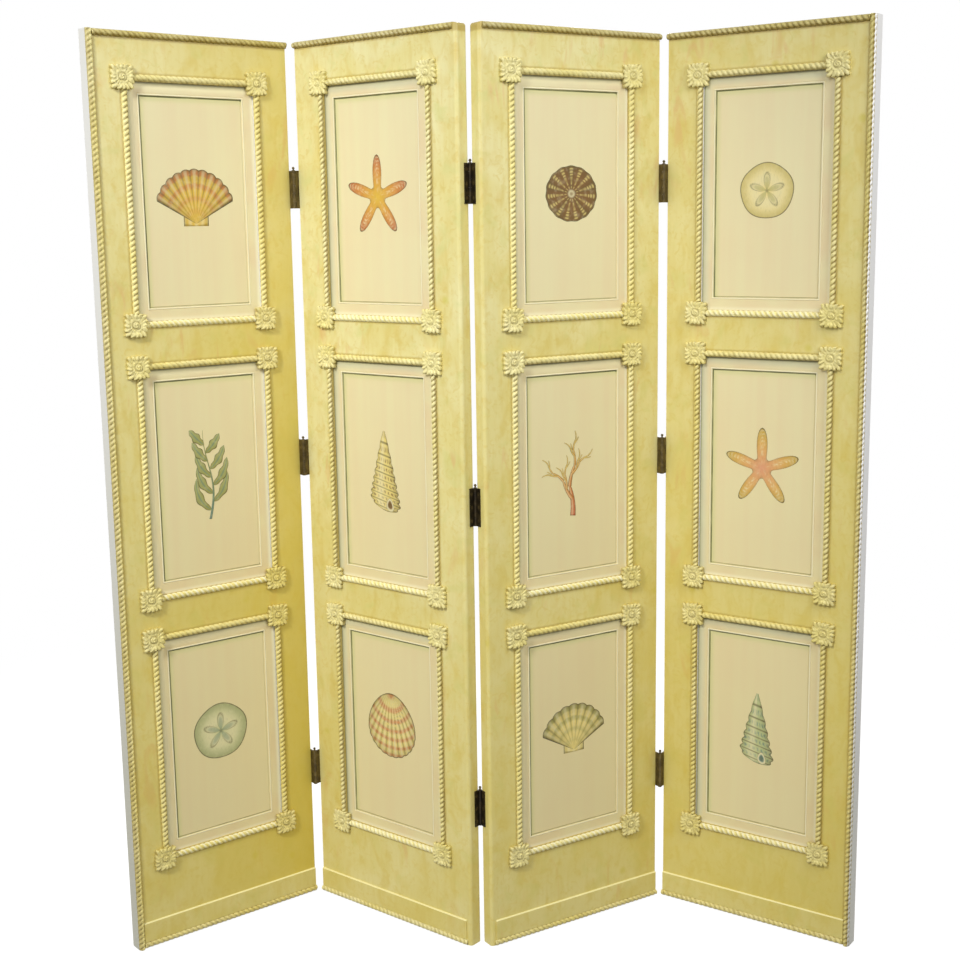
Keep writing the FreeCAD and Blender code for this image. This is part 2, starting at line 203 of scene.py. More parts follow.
def rope(start, stop, kind):
    """A rope between two points of the face, with its flat back on it."""
    start, stop = np.array(start, float), np.array(stop, float)
    pitch = LEVEL_PITCH if kind in LEVEL_KINDS else UPRIGHT_PITCH
    length = np.linalg.norm(stop - start)
    rings = round(length / pitch * RINGS_IN_PITCH) + 1
    along, around = np.meshgrid(
        np.linspace(0, length, rings), np.linspace(0, math.pi, ROPE_SIDES + 1), indexing="ij")
    strand = (ROPE_TURN * around / math.pi + along / pitch) % 1
    fall = np.abs(2 * strand - 1) ** GROOVE_SHARPNESS
    lens = ease(np.sin(around), 0.25, 0.8)
    radius = ROPE_WIDTH / 2 - ROPE_GROOVE * fall * (0.5 + 0.5 * lens)
    side = radius * np.cos(around)
    out = -radius * np.sin(around)
    even, in_groove, on_side, starts, full = ROPE_GLAZE_AND_SHADE[kind]
    # Glaze with painted shade: darker in the grooves and on the hollow side, where shade falls
    deep = even + in_groove * fall * lens + on_side * ease(np.cos(around), starts, full)
    if kind in LEVEL_KINDS:
        points = np.stack([start[0] + along, out, start[1] - side], -1)
    else:
        points = np.stack([start[0] + side, out, start[1] + along], -1)
    columns = ROPE_SIDES + 1
    faces = grid_faces(rings, columns, split=True)
    faces.append(tuple(range(columns))[::-1])
    faces.append(tuple(range((rings - 1) * columns, rings * columns)))
    return points.reshape(-1, 3), faces, deep.ravel()


def opening_ropes():
    """Ropes round the three openings, from rosette to rosette."""
    left = STILE_WIDTH - ROPE_WIDTH / 2
    right = left + OPENING_WIDTH + ROPE_WIDTH
    half = ROSETTE_WIDTH / 2
    parts = []
    for index in OPENINGS:
        low = BOTTOM_RAIL - ROPE_WIDTH / 2 + index * OPENING_PITCH
        high = low + OPENING_HEIGHT + ROPE_WIDTH
        for z, kind in ((low, "under"), (high, "over")):
            parts.append(rope((left - ROSETTE_SHIFT + half, z), (right - half, z), kind))
        for x in (left, right):
            parts.append(rope((x, low + half), (x, high - half), "upright"))
    return join_parts(parts)


def edge_ropes(number):
    """Ropes along the top and the bottom of a panel, and up its outer edge."""
    middle = ROPE_WIDTH / 2
    side = OUTER_SIDE.get(number)
    start = -VALLEY_OVERHANG
    stop = PANEL_WIDTH + VALLEY_OVERHANG
    if side == "left":
        start = ROPE_WIDTH
    elif side == "right":
        stop = PANEL_WIDTH - ROPE_WIDTH
    if number == 2:
        stop = PANEL_WIDTH - RIDGE_STOP
    elif number == 3:
        start = RIDGE_STOP
    parts = [rope((start, middle), (stop, middle), "foot")]
    parts.append(rope((start, SCREEN_HEIGHT - middle), (stop, SCREEN_HEIGHT - middle), "top"))
    if side:
        x = middle if side == "left" else PANEL_WIDTH - middle
        parts.append(rope((x, 0), (x, SCREEN_HEIGHT), side))
    return join_parts(parts)


# Rosettes: leaves with lobed edges round a whorled boss, the corner ones lower

SPOKES = 192
ROSETTE_RINGS = 22
SQUARENESS = 9.0
LOBES = 16
LOBE_NOTCH = 0.1
LOBE_RISE = 1.9 * MM
LOBE_SWING = 0.12
SWING_PITCH = 4 * MM
LEAF_EDGE = 33.75
LEAF_NOTCH = 0.05
LEAF_HEIGHT = 7.6 * MM
LEAF_LOWEST = 2 * MM
LEAF_DROP = 1.6 * MM
DROP_RADII = (11 * MM, 15 * MM)
SPLIT_DROP = 1.4 * MM
SPLIT_RADIUS = 15 * MM
CUP_RISE = 1.4 * MM
CUP_RADIUS = 19 * MM
TIP_RISE = 0.6 * MM
RIM_DROP = 1.4 * MM
CURL_RISE = 0.55 * MM
CURL_PITCH = 1.6 * MM
CURL_RADIUS = 13 * MM
CURL_WIDTH = 5 * MM
BOSS_RADIUS = 7.5 * MM
BOSS_HEIGHT = ROSETTE_RELIEF - 1.4 * MM
BOSS_DROP = 2.2 * MM
BOSS_EDGE = 1.6 * MM
BOSS_TOP = ROSETTE_RELIEF - 0.6 * MM
WHORL_RISE = 1 * MM
WHORL_PITCH = 0.9 * MM
MOAT_DROP = 0.9 * MM
MOAT_RADIUS = BOSS_RADIUS + 0.5 * MM
MOAT_WIDTH = 1.2 * MM
# Depths of glaze and painted shade on the leaves and on the walls round them
LEAF_SHADE = 0.3
WALL_SHADE = 0.4


def rosette_outline(angle, off):
    """How far the carving reaches at an angle: a soft square with a lobed edge."""
    across = np.abs(np.cos(angle)) ** SQUARENESS + np.abs(np.sin(angle)) ** SQUARENESS
    lobe = np.abs(np.cos(LOBES / 2 * angle))
    notches = 1 - LOBE_NOTCH * (1 - lobe) ** 1.4 - LEAF_NOTCH * bump(off, LEAF_EDGE, 3.0)
    return ROSETTE_WIDTH / 2 * across ** (-1 / SQUARENESS) * notches


def rosette():
    """The carving as heights over rings that grow from its middle to its outline."""
    spoke = np.arange(SPOKES) * 2 * math.pi / SPOKES
    ring = np.linspace(0, 1, ROSETTE_RINGS + 1)[1:]
    share, angle = np.meshgrid(ring, spoke, indexing="ij")
    off = np.abs(np.degrees((angle + math.pi / 4) % (math.pi / 2)) - 45)
    radius = share * rosette_outline(angle, off)
    cup = ease(radius, BOSS_RADIUS + MM, CUP_RADIUS)
    swing = angle + LOBE_SWING * np.sin(radius / SWING_PITCH)
    lobe = np.abs(np.cos(LOBES / 2 * swing))
    edge = ease(share, 0.5, 0.85)
    turn_up = np.cos(LOBES / 2 * angle)
    outer = ease(off, LEAF_EDGE - 2, LEAF_EDGE + 2) * ease(radius, *DROP_RADII)
    split = bump(off, LEAF_EDGE, 2.6) * ease(radius, BOSS_RADIUS, SPLIT_RADIUS)
    curl = np.cos(radius / CURL_PITCH + 2 * np.cos(4 * angle)) * bump(radius, CURL_RADIUS, CURL_WIDTH)
    height = LEAF_HEIGHT + CUP_RISE * cup + LOBE_RISE * (lobe ** 0.8 - 0.6) * edge + TIP_RISE * turn_up * edge
    height += CURL_RISE * curl - LEAF_DROP * outer - SPLIT_DROP * split
    height -= RIM_DROP * ease(share, 0.9, 1)
    whorl = np.cos(2 * angle + radius / WHORL_PITCH)
    boss = BOSS_HEIGHT - BOSS_DROP * (radius / BOSS_RADIUS) ** 4 + WHORL_RISE * whorl
    inside = ease(BOSS_RADIUS + BOSS_EDGE / 2 - radius, 0, BOSS_EDGE)
    moat = bump(radius, MOAT_RADIUS, MOAT_WIDTH)
    height = inside * boss + (1 - inside) * height - MOAT_DROP * moat
    height = np.clip(height, LEAF_LOWEST, ROSETTE_RELIEF)
    coil = inside * ease(-whorl, 0, 1)
    # Glaze and painted shade in the flutes, the splits, the moat and the whorl's coil, and round the rim
    flute = (1 - lobe) ** 2.5 * edge
    deep = LEAF_SHADE + 0.2 * flute + 0.16 * split + 0.2 * moat + 0.16 * coil
    deep = np.clip(deep + 0.1 * ease(share, 0.88, 1), 0, 1)
    rim = np.stack([radius[-1] * np.cos(spoke), np.zeros(SPOKES), radius[-1] * np.sin(spoke)], -1)
    points = np.stack([radius * np.cos(angle), -height, radius * np.sin(angle)], -1).reshape(-1, 3)
    top = np.array([[0, -BOSS_TOP, 0]])
    count = len(points)
    points = np.concatenate([points, rim, top])
    faces = grid_faces(ROSETTE_RINGS + 1, SPOKES)
    faces.append(tuple(range(count, count + SPOKES))[::-1])
    middle = len(points) - 1
    for index in range(SPOKES):
        faces.append((middle, (index + 1) % SPOKES, index))
    shade = np.concatenate([deep.ravel(), np.full(SPOKES, WALL_SHADE), [LEAF_SHADE]])
    return points, faces, shade


# How many degrees the carvings are askew, in turn
HAND_SET = (2.0, -3.0, 1.0, -1.5, 3.0, -0.5, 0.5)


def rosettes(shape):
    """Twelve carvings at the corners of the openings, each set a little askew."""
    points, faces, deep = shape
    left = STILE_WIDTH - ROPE_WIDTH / 2
    parts = []
    for index in OPENINGS:
        for up in (0, 1):
            for across in (0, 1):
                x = left + (OPENING_WIDTH + ROPE_WIDTH if across else -ROSETTE_SHIFT)
                z = BOTTOM_RAIL - ROPE_WIDTH / 2 + index * OPENING_PITCH
                z += up * (OPENING_HEIGHT + ROPE_WIDTH)
                askew = HAND_SET[(2 * index + up + 3 * across) % len(HAND_SET)]
                turned = points @ np.array(Matrix.Rotation(math.radians(askew), 3, "Y")).T
                parts.append((turned + np.array([x, 0, z]), faces, deep))
    return join_parts(parts)


# Boards: a flat band, a small bead, and a field sunk behind it

# The bead and the hollow inside it, in mm: how far in from the end of the band, and how deep behind the band
# or the field
BEAD = [(-4.2, 0), (-3.8, 0.5), (-3.3, 0.55), (-2.9, 0), (-2.2, -0.45), (-1.2, -0.6), (-0.3, -0.35), (0, 0.2)]
HOLLOW = [(0.3, 0.5), (1.6, 0.7), (2.6, 0.2), (3.4, 0)]


def board():
    """A board about its own middle, as rings from its edge to its field."""
    rings = [(-BOARD_TONGUE, BOARD_THICKNESS), (-BOARD_TONGUE, 0)]
    rings.extend((BAND_WIDTH + inset * MM, depth * MM) for inset, depth in BEAD)
    rings.extend((BAND_WIDTH + inset * MM, FIELD_SINK + depth * MM) for inset, depth in HOLLOW)
    points = []
    for inset, depth in rings:
        x, z = OPENING_WIDTH / 2 - inset, OPENING_HEIGHT / 2 - inset
        y = BOARD_SETBACK + depth
        points.append([(-x, y, -z), (x, y, -z), (x, y, z), (-x, y, z)])
    faces = grid_faces(len(rings), 4)
    last = 4 * (len(rings) - 1)
    faces.append((last, last + 1, last + 2, last + 3))
    faces.append((3, 2, 1, 0))
    return np.array(points), faces


# Painted motifs: one sea motif in the middle of each field, as a thin layer of paint

INK = colour(90, 80, 42)
SUN = colour(222, 184, 66)
STRAW = colour(232, 212, 128)
CORAL_RED = colour(204, 104, 62)
ROSE = colour(224, 158, 118)
OLIVE = colour(152, 150, 74)
SAGE = colour(186, 192, 134)
TEAL = colour(102, 134, 118)
UMBER = colour(124, 88, 44)
SHELL = colour(238, 228, 180)
PAINT_LIFT = 0.2 * MM
LAYER_LIFT = 0.015 * MM
MOTIF_AROUND = 144
MOTIF_RINGS = 24


def blend(first, second, share):
    """Colours between two, with a share for each point."""
    share = np.clip(np.asarray(share, float), 0, 1)[..., None]
    return (1 - share) * np.asarray(first, float)[..., :3] + share * np.asarray(second, float)[..., :3]


def wave(value):
    """1 at whole numbers and 0 halfway between them."""
    return 0.5 + 0.5 * np.cos(2 * math.pi * value)


def outlined(tint, edge):
    """Darker towards the edge, as ink that has run a little."""
    return blend(tint, INK, 0.8 * ease(edge, 0.95, 1.0) + 0.25 * ease(edge, 0.6, 1.0))


def disc(shape):
    """A closed patch in rings round its middle, shaped and tinted by angle and share of the way out."""
    angle = np.arange(MOTIF_AROUND) * 2 * math.pi / MOTIF_AROUND
    share = 1 - np.linspace(0.985, 0, MOTIF_RINGS) ** 1.7
    share, angle = np.meshgrid(share, angle, indexing="ij")
    x, z, tint = shape(angle, share)
    faces = grid_faces(MOTIF_RINGS, MOTIF_AROUND)
    faces.append(tuple(range(MOTIF_AROUND))[::-1])
    return np.stack([x.ravel(), z.ravel()], -1), faces, tint.reshape(-1, 3)


def strip(shape, along=40, over=9):
    """An open patch, shaped and tinted by shares of its length and of its width."""
    length, width = np.meshgrid(np.linspace(0, 1, along), np.linspace(0, 1, over), indexing="ij")
    x, z, tint = shape(length, width)
    faces = [(row * over + c, row * over + c + 1, (row + 1) * over + c + 1, (row + 1) * over + c)
             for row in range(along - 1) for c in range(over - 1)]
    return np.stack([x.ravel(), z.ravel()], -1), faces, tint.reshape(-1, 3)


def scallop(size, body, bands, ribs=11):
    """A fan shell with ribs, growth bands and two small ears at its hinge."""
    def ear(length, width):
        x = (length - 0.5) * size * 0.52
        z = size * (-0.49 + width * (0.05 + 1.06 * np.abs(length - 0.5) * 0.52))
        return x, z, outlined(blend(body, SHELL, 0.5 * wave(length * 4)), np.abs(2 * length - 1))

    def fan(length, width):
        angle = (width - 0.5) * math.radians(124)
        scalloped = 0.03 * np.abs(np.sin(math.pi * ribs * width))
        reach = size * length * (1 - 0.1 * (2 * width - 1) ** 2 + scalloped)
        tint = blend(body, bands, 0.8 * ease(wave(4.3 * length), 0.4, 0.9) * length)
        tint = blend(tint, SHELL, 0.55 * ease(wave(ribs * width + 0.5), 0.5, 1) * length)
        tint = blend(tint, INK, 0.5 * ease(wave(ribs * width), 0.75, 1) * length ** 0.5)
        edge = np.maximum(length, np.abs(2 * width - 1) ** 0.5)
        return reach * np.sin(angle), reach * np.cos(angle) - 0.45 * size, outlined(tint, edge)
    return [strip(ear, 21, 5), strip(fan, 30, 12 * ribs + 1)]


def starfish(size, body, tips):
    """Five tapering arms, with a row of pale spots down each."""
    def star(angle, share):
        lobe = wave(5 * angle / (2 * math.pi))
        reach = size * (0.26 + 0.74 * lobe ** 2.1)
        radius = reach * share
        tint = blend(body, tips, radius / size)
        row = ease(lobe, 0.9, 1) * ease(wave(radius / (0.085 * size)), 0.55, 0.95)
        tint = blend(tint, SHELL, 0.7 * row * ease(share, 0.1, 0.25))
        return radius * np.sin(angle), radius * np.cos(angle), outlined(tint, share)
    return [disc(star)]


def sand_dollar(size, body, petals):
    """A round test with a flower of five drawn petals."""
    def test(angle, share):
        reach = size * (1 + 0.015 * np.cos(5 * angle))
        lobe = wave(5 * angle / (2 * math.pi))
        petal = lobe ** 0.8 * 0.62
        line = bump(share, petal, 0.035) * ease(lobe, 0.02, 0.3)
        tint = blend(body, SHELL, 0.7 * bump(share, 0.45, 0.35))
        tint = blend(tint, petals, 0.45 * ease(petal - share, 0, 0.2))
        tint = blend(tint, INK, 0.75 * line + 0.6 * bump(share, 0, 0.06))
        return reach * share * np.sin(angle), reach * share * np.cos(angle) * 0.96, outlined(tint, share)
    return [disc(test)]


def urchin(size, body, beads):
    """A round shell with rows of beads that run out from its crown."""
    def test(angle, share):
        rows = 15
        bead = ease(wave(rows * angle / (2 * math.pi)), 0.5, 0.95)
        bead = bead * ease(wave(share * 9), 0.3, 0.8)
        band = ease(wave(5 * angle / (2 * math.pi)), 0.7, 0.95)
        tint = blend(body, INK, 0.35 * band)
        tint = blend(tint, beads, 0.85 * bead * ease(share, 0.12, 0.3))
        tint = blend(tint, SHELL, 0.8 * bump(share, 0.08, 0.05))
        reach = size * (1 + 0.012 * np.cos(rows * angle))
        return reach * share * np.sin(angle), 0.88 * reach * share * np.cos(angle), outlined(tint, share)
    return [disc(test)]


def cockle(size, body, bands):
    """A rounded shell with ribs that spread from its beak and bands that follow its edge."""
    def valve(angle, share):
        frill = 0.025 * np.abs(np.sin(12 * angle)) * ease(-np.cos(angle), -0.2, 0.4)
        x = size * share * np.sin(angle) * (1 + frill)
        turned = angle % (2 * math.pi) - math.pi
        beak = 0.2 * bump(turned, math.pi, 0.8) + 0.2 * bump(turned, -math.pi, 0.8)
        z = size * share * (np.cos(angle) * (0.95 + frill) + beak)
        from_beak = np.hypot(x, z - 1.15 * size) / size
        spread = np.degrees(np.arctan2(x, 1.45 * size - z))
        tint = blend(body, bands, 0.7 * ease(wave(from_beak ** 1.4 * 2.2), 0.35, 0.95))
        tint = blend(tint, SHELL, 0.5 * ease(wave(spread / 7 + 0.5), 0.4, 1))
        ribbed = ease(wave(spread / 7), 0.7, 1) * ease(from_beak, 0.1, 0.9)
        tint = blend(tint, INK, 0.5 * ribbed)
        return x, z, outlined(tint, share)
    return [disc(valve)]


def turret(size, body, bands, whorls=9):
    """A tall pointed shell whose whorls bulge between slanting seams, with its mouth low on the right."""
    def spire(length, width):
        part = (1 - (1 - length) ** 1.5) * whorls
        swell = 1 + 0.16 * np.abs(np.sin(math.pi * part))
        foot = np.sqrt(np.clip(1 - (1 - length / 0.16).clip(0, 1) ** 2, 0.02, 1))
        half = size * 0.25 * (0.05 + 0.95 * (1 - length) ** 0.9) * swell * foot
        across = 2 * width - 1
        x = half * across
        z = size * (length - 0.5) - 0.22 * half * across
        seam = ease(wave(part + 0.5), 0.9, 1)
        flecks = ease(wave(part), 0.4, 0.9) * ease(wave(3.5 * across + part * 0.37), 0.45, 0.8)
        tint = blend(body, bands, 0.85 * flecks)
        tint = blend(tint, SHELL, 0.6 * bump(across, -0.35, 0.3))
        tint = blend(tint, INK, 0.7 * seam + 0.3 * ease(across, 0.3, 1))
        return x, z, outlined(tint, np.maximum(np.abs(across), 1 - length * 10))

    def mouth(angle, share):
        x = size * (0.06 * share * np.sin(angle) * (1 - 0.3 * np.cos(angle)) + 0.075)
        z = size * (0.085 * share * np.cos(angle) - 0.405) - 0.2 * x
        tint = blend(bands, SHELL, ease(share, 0.45, 0.8))
        return x, z, outlined(blend(tint, INK, 0.5 * (1 - ease(share, 0.2, 0.6))), share)
    return [strip(spire, 120, 25), disc(mouth)]


def sprig(size, stem, tips):
    """A branching sprig that leans and thins as it climbs."""
    parts = []

    def branch(x, z, lean, reach, girth, level):
        bend = 0.5 if level % 2 else -0.5

        def limb(length, width):
            turn = lean + bend * length
            path_x = x + reach * length * np.sin(lean + bend * length / 2)
            path_z = z + reach * length * np.cos(lean + bend * length / 2)
            half = girth * (1 - 0.45 * length) * np.sqrt(np.clip(1 - (length / 1.001) ** 14, 0, 1))
            across = 2 * width - 1
            tint = blend(stem, tips, (level + length) / 4)
            tint = blend(tint, SHELL, 0.5 * bump(across, -0.3, 0.35))
            tint = blend(tint, INK, 0.35 * ease(across, 0.2, 1))
            tint = outlined(tint, np.abs(across))
            return path_x + half * across * np.cos(turn), path_z - half * across * np.sin(turn), tint
        parts.append(strip(limb, 24, 9))
        if level < 4:
            for share, side in ((0.55, 0.62), (0.97, -0.42)):
                turn = lean + bend * share / 2
                fork_x = x + reach * share * math.sin(turn)
                fork_z = z + reach * share * math.cos(turn)
                away = lean + bend * share + side * (1 if level % 2 else -1)
                branch(fork_x, fork_z, away, reach * 0.72, girth * 0.66, level + 1)
    branch(0, -0.5 * size, 0.12, 0.34 * size, 0.036 * size, 0)
    return parts


def frond(size, leaf, vein):
    """A wavy stem with long leaves on both sides."""
    parts = []

    def stem_x(length):
        return 0.05 * size * np.sin(5 * length)

    for index in range(9):
        start = 0.1 + 0.09 * index
        side = 1 if index % 2 else -1

        def blade(length, width, start=start, side=side):
            across = 2 * width - 1
            lean = side * (1.15 - 0.75 * length * (1 - start) - 0.3 * start)
            reach = size * (0.42 - 0.22 * start) * length
            half = 0.048 * size * np.sin(math.pi * np.clip(length, 0.03, 0.99)) ** 0.7
            half = half * (1 + 0.18 * np.sin(16 * length))
            x = stem_x(start) + reach * np.sin(lean) + half * across * np.cos(lean)
            z = size * (start - 0.5) + reach * np.cos(lean) - half * across * np.sin(lean)
            tint = blend(leaf, SAGE, 0.6 * length)
            tint = blend(tint, vein, 0.8 * bump(across, 0, 0.16))
            return x, z, outlined(tint, np.abs(across))
        parts.append(strip(blade, 36, 9))

    def stem(length, width):
        across = 2 * width - 1
        half = size * 0.014 * (1.05 - length)
        tint = outlined(blend(vein, leaf, length), np.abs(across) * 0.96)
        return stem_x(length) + half * across, size * (0.98 * length - 0.5), tint
    parts.append(strip(stem, 50, 5))
    return parts


def thickened(points, faces):
    """A flat patch given a thickness, with a rim round it."""
    count = len(points)
    sides = {(face[i - 1], face[i]) for face in faces for i in range(len(face))}
    rim = [(b, a, count + a, count + b) for a, b in sorted(sides) if (b, a) not in sides]
    return faces + [tuple(count + index for index in face[::-1]) for face in faces] + rim


def motif(name, number, place, parts):
    """The layers of a motif, each a little over the one before, on the face of a field."""
    points, tints, faces, count = [], [], [], 0
    for index, (flat, patch, tint) in enumerate(parts):
        for lift in (PAINT_LIFT + index * LAYER_LIFT, 0):
            y = np.full(len(flat), BOARD_SETBACK + FIELD_SINK - lift)
            points.append(np.stack([flat[:, 0], y, flat[:, 1]], -1))
            tints.append(tint)
        faces.extend(tuple(count + i for i in face) for face in thickened(flat, patch))
        count += 2 * len(flat)
    made = new_object(name, np.concatenate(points), faces, number, place)
    tint = np.concatenate(tints)
    keep(made.data, "tint", "FLOAT_COLOR", "color", np.column_stack([tint, np.ones(len(tint))]))
    return made


# Paints and metals


class Nodes:
    """The nodes of a material or of the world, made one by one."""

    def __init__(self, tree):
        self.tree = tree
        # The point on the object, which is the same in every pose
        self.place = self.node("TexCoord").outputs["Object"]

    def node(self, kind, settings=None, **links):
        """A node with its settings, whose inputs are values or other nodes' outputs."""
        made = self.tree.nodes.new(f"ShaderNode{kind}")
        for key, value in (settings or {}).items():
            setattr(made, key, value)
        for key, value in links.items():
            by_number = key[0] == "i" and key[1:].isdigit()
            self.feed(made.inputs[int(key[1:]) if by_number else key], value)
        return made

    def feed(self, socket, value):
        if isinstance(value, bpy.types.NodeSocket):
            self.tree.links.new(value, socket)
        else:
            socket.default_value = value

    def height(self):
        return self.node("SeparateXYZ", Vector=self.place).outputs["Z"]

    def drawn(self):
        """The point as it was drawn, across, into and up the panel or the board."""
        point = self.attribute("drawn").outputs["Vector"]
        return self.node("SeparateXYZ", Vector=point).outputs

    def vector(self, operation, first, second):
        made = self.node("VectorMath", {"operation": operation}, i0=first, i1=second)
        return made.outputs["Value" if operation == "DOT_PRODUCT" else "Vector"]

    def stretched(self, share):
        """The point with only a share of its height, so that a pattern runs up the object."""
        return self.vector("MULTIPLY", self.place, (1, 1, share))

    def math(self, operation, first, second=0.0):
        return self.node("Math", {"operation": operation}, i0=first, i1=second).outputs[0]

    plus = partialmethod(math, "ADD")
    minus = partialmethod(math, "SUBTRACT")
    times = partialmethod(math, "MULTIPLY")
    least = partialmethod(math, "MINIMUM")
    most = partialmethod(math, "MAXIMUM")

    def apart(self, first, second):
        """How far two values lie apart."""
        return self.math("ABSOLUTE", self.minus(first, second))

    def noise(self, scale, detail, distortion=0.0, place=None):
        place = self.place if place is None else place
        links = {"Vector": place, "Scale": scale, "Detail": detail, "Distortion": distortion}
        return self.node("TexNoise", **links).outputs["Fac"]

    def ramp(self, value, low, high):
        """A smooth step from 0 at low to 1 at high."""
        settings = {"interpolation_type": "SMOOTHSTEP"}
        links = {"Value": value, "From Min": low, "From Max": high}
        return self.node("MapRange", settings, **links).outputs["Result"]

    def fade(self, value, low, high):
        """A smooth step from 1 at low to 0 at high."""
        return self.minus(1.0, self.ramp(value, low, high))

    def between(self, value, low, high):
        """1 between two values and 0 outside them, with soft edges."""
        rise = self.ramp(value, low - SOFT_EDGE, low + SOFT_EDGE)
        return self.times(rise, self.fade(value, high - SOFT_EDGE, high + SOFT_EDGE))

    def mix(self, share, first, second):
        made = self.node("Mix", {"data_type": "RGBA"})
        self.feed(made.inputs[0], share)
        self.feed(made.inputs[6], first)
        self.feed(made.inputs[7], second)
        return made.outputs[2]

    def coat(self, shade, over, share, strength):
        """A shade with another one over it, as strong as a share of the strength."""
        return self.mix(self.times(share, strength), shade, over)

    def attribute(self, name):
        return self.node("Attribute", {"attribute_name": name})


class Paint(Nodes):
    """A material with one surface."""

    def __init__(self, name, roughness, metallic=0.0):
        self.material = bpy.data.materials.new(name)
        self.material.use_nodes = True
        super().__init__(self.material.node_tree)
        self.shader = self.tree.nodes["Principled BSDF"]
        self.shader.inputs["Roughness"].default_value = roughness
        self.shader.inputs["Metallic"].default_value = metallic

    def finish(self, shade, bump_height, bump_distance):
        self.feed(self.shader.inputs["Base Color"], shade)
        made = self.node("Bump", Height=bump_height, Distance=bump_distance)
        self.feed(self.shader.inputs["Normal"], made.outputs["Normal"])
        return self.material


FRAME_YELLOW = colour(232, 221, 150)
FRAME_PALE = colour(240, 233, 176)
FRAME_OCHRE = colour(217, 192, 96)
# Deep yellow: painted shade towards the floor, deeper paint with painted shade at the edges, half of the
# plinth
FRAME_DEEP = colour(214, 190, 66)
FRAME_GREEN = colour(214, 214, 138)
FRAME_ROSE = colour(226, 180, 128)
FRAME_SPOT = colour(206, 196, 60)
# Ochre glaze with painted shadow along the mouldings
FRAME_GLAZE_SHADOW = colour(176, 148, 62)
EDGE_WHITE = colour(247, 246, 243)
# The grey that the outer edges take towards the floor, as painted shade
EDGE_GREY = colour(186, 184, 164)
BACK_WHITE = colour(214, 210, 198)
BACK_STAIN = colour(196, 188, 168)
# A painted highlight for the mouldings where they are least shaded
ROPE_HIGHLIGHT = colour(252, 249, 222)
ROPE_CREAM = colour(248, 240, 180)
ROPE_PALE = colour(241, 229, 150)
# Ochre glaze and painted shade for the mouldings' hollows and shaded sides
ROPE_OCHRE = colour(136, 112, 34)
BOARD_CREAM = colour(236, 227, 180)
BOARD_PINK = colour(234, 216, 172)
# Painted shade for the boards towards the floor
BOARD_DEEP = colour(226, 206, 142)
# Green glaze with painted shade beside the fields' left and top edges
BOARD_GREEN = colour(214, 212, 146)
# Painted light and painted shade for the bands beside the left and top ropes
BAND_PAINTED_LIGHT = colour(255, 246, 200)
BAND_PAINTED_SHADE = colour(200, 208, 182)
# Glaze with painted shadow beside the left and top ropes
BOARD_GLAZE_SHADOW = colour(176, 178, 132)
BOARD_LINE = colour(104, 108, 62)
# Dark glaze with painted shadow just under the left and top ropes
BOARD_DARK = colour(74, 66, 24)
# A painted highlight for the bead and beside the far ropes
BOARD_HIGHLIGHT = colour(246, 240, 206)
HINGE_DARK = colour(76, 64, 36)
HINGE_OLIVE = colour(116, 100, 58)
# The ridge hinges' darker bronze, a painted shade for hinges that sit back in the ridge's gap
HINGE_BLACK = colour(36, 29, 17)
SCREW_WORN = colour(116, 100, 62)

SATIN = 0.42
BOARD_SATIN = 0.5
SOFT_EDGE = 0.35 * MM
BRUSH_MARKS = 0.12
BACK_OF_BOARD = BOARD_SETBACK + BOARD_THICKNESS

# Layers of the marbling: how much of the height counts, the noise's scale, detail and distortion, where it
# starts and where it is full, its strength and its colour
MARBLE_LAYERS = [
    (1.0, 8, 4, 0.5, 0.32, 0.68, 1.0, FRAME_PALE),
    (0.55, 32, 4, 0.6, 0.45, 0.75, 0.5, FRAME_OCHRE),
    (1.0, 64, 3, 1.2, 0.5, 0.72, 0.35, FRAME_OCHRE),
    (BRUSH_MARKS, 130, 3, 0.0, 0.4, 0.75, 0.16, FRAME_OCHRE),
    (1.0, 21, 3, 0.4, 0.52, 0.75, 0.5, FRAME_GREEN),
]
SMUDGE_TURN = (0.7, 0.6, 0.0)
SMUDGE_STRETCH = (1.0, 1.0, 0.28)
SMUDGE_STRENGTH = 0.55
SPOT_SCALE = 14.0
SPOT_EDGES = (0.03, 0.17)
SPOT_RARITY = 0.72
SPOT_STRENGTH = 0.5


def marbled(paint):
    """Pale yellow marbling: soft clouds and brush streaks, faint rosy smudges and a few deep spots."""
    shade = FRAME_YELLOW
    for share, scale, detail, distortion, low, high, strength, tint in MARBLE_LAYERS:
        layer = paint.ramp(paint.noise(scale, detail, distortion, paint.stretched(share)), low, high)
        shade = paint.coat(shade, tint, layer, strength)
    turned = {"Vector": paint.place, "Rotation": SMUDGE_TURN, "Scale": SMUDGE_STRETCH}
    slanted = paint.node("Mapping", **turned).outputs["Vector"]
    smudge = paint.ramp(paint.noise(30, 3, 0.8, slanted), 0.56, 0.72)
    some = paint.ramp(paint.noise(7, 1), 0.46, 0.62)
    shade = paint.coat(shade, FRAME_ROSE, paint.times(smudge, some), SMUDGE_STRENGTH)
    cells = paint.node("TexVoronoi", Vector=paint.place, Scale=SPOT_SCALE)
    spot = paint.fade(cells.outputs["Distance"], *SPOT_EDGES)
    drawn = paint.node("SeparateColor", Color=cells.outputs["Color"]).outputs[0]
    rare = paint.math("GREATER_THAN", drawn, SPOT_RARITY)
    return paint.coat(shade, FRAME_SPOT, paint.times(spot, rare), SPOT_STRENGTH)


# The panel whose outer rope is partly white, and how much darker each panel's paint is made at its two edges,
# partly as deeper paint and partly as painted shade
WHITE_EDGED = 4
STILE_TONES = {1: (0.16, 0.5), 2: (0.0, 0.0), 3: (0.1, 0.2), 4: (0.28, 0.28)}
# How much darker the paint is made at the floor, as painted shade, and between which heights that grows
FLOOR_PAINTED_SHADE = 0.36
FLOOR_PAINTED_SHADE_HEIGHTS = (0.2, 1.85)
